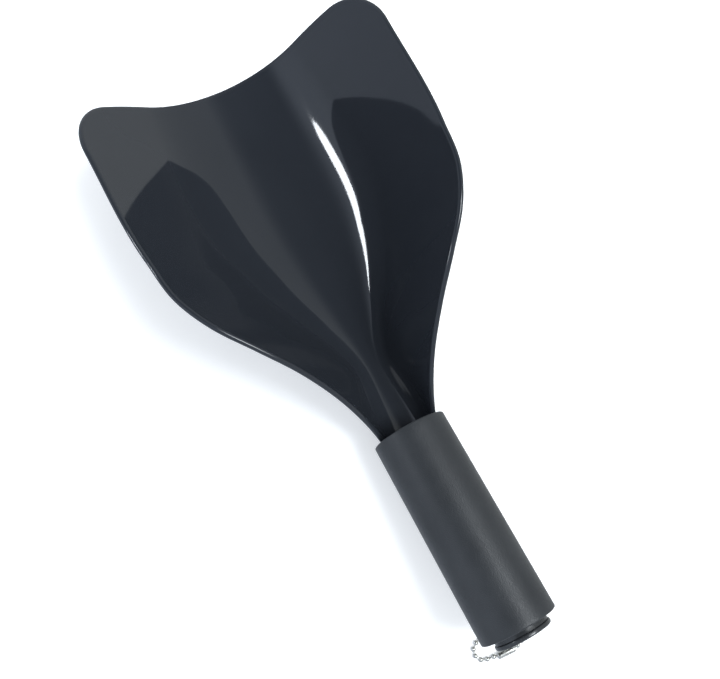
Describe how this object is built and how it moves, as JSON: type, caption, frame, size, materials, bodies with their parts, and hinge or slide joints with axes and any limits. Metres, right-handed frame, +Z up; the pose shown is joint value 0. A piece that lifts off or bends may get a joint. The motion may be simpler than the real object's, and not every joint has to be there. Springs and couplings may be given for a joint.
{
  "type": "one-hand scoop",
  "caption": "One-hand leaf scoop: deep moulded trough with rounded front corners, hollow shank, foam grip sleeve, butt plug and ball-chain hang loop.",
  "frame": {"origin": "on the table, below the middle of the tool's bounding box, chain left out", "axes": "X across the trough, Y from the butt to the scoop's front edge, Z up out of the trough; the tool lies as it rests on a table, on the sleeve's mouth and the middle of the front edge, so its handle axis climbs 9.93 degrees towards the butt"},
  "size_m": [0.1534, 0.3311, 0.0741],
  "materials": {
    "scoop_plastic": "glossy moulded, near-black with a blue cast",
    "foam": "matte closed-cell foam, dark grey",
    "cap_plastic": "glossy moulded, black",
    "chain_metal": "nickel-plated steel balls and wire",
    "connector_metal": "nickel-plated rolled steel"
  },
  "bodies": {
    "tool": {"scoop": "scoop_plastic", "grip_sleeve": "foam", "end_cap": "cap_plastic", "chain_balls": "chain_metal", "chain_links": "chain_metal"},
    "connector": {"chain_connector": "connector_metal"}
  },
  "joints": [
    {"name": "connector_spin", "type": "hinge", "parent": "tool", "child": "connector", "pos_m": [-0.00656, -0.17009, 0.0017], "axis": [-0.9979, 0.0649, -0.0003], "continuous": true}
  ]
}
